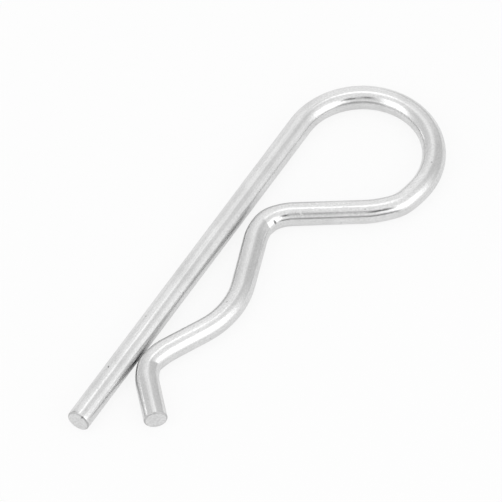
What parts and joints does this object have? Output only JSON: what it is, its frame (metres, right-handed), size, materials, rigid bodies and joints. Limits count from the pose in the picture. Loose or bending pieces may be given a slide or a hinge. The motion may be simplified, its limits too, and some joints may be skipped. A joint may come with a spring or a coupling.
{
  "type": "hitch pin r clip",
  "caption": "R-shaped hitch pin clip of round spring wire: a finger bow joins a straight leg to a kinked leg that snaps round a cross-drilled shaft.",
  "frame": {"origin": "where the axis of the straight leg meets the axis of the shaft that the clip holds, in the middle of the shaft seat and halfway through the wire", "axes": "+X along the straight leg towards the finger bow, +Z along the shaft, square to the plane of the wire; the kinked leg is on the -Y side, and the clip lies flat on its wire at z = -2 mm"},
  "size_m": [0.085, 0.028, 0.004],
  "materials": {
    "spring_wire": "bright zinc plate over drawn spring steel wire, with fine lengthwise die lines"
  },
  "bodies": {
    "root": {"r_clip": "spring_wire"}
  },
  "joints": []
}
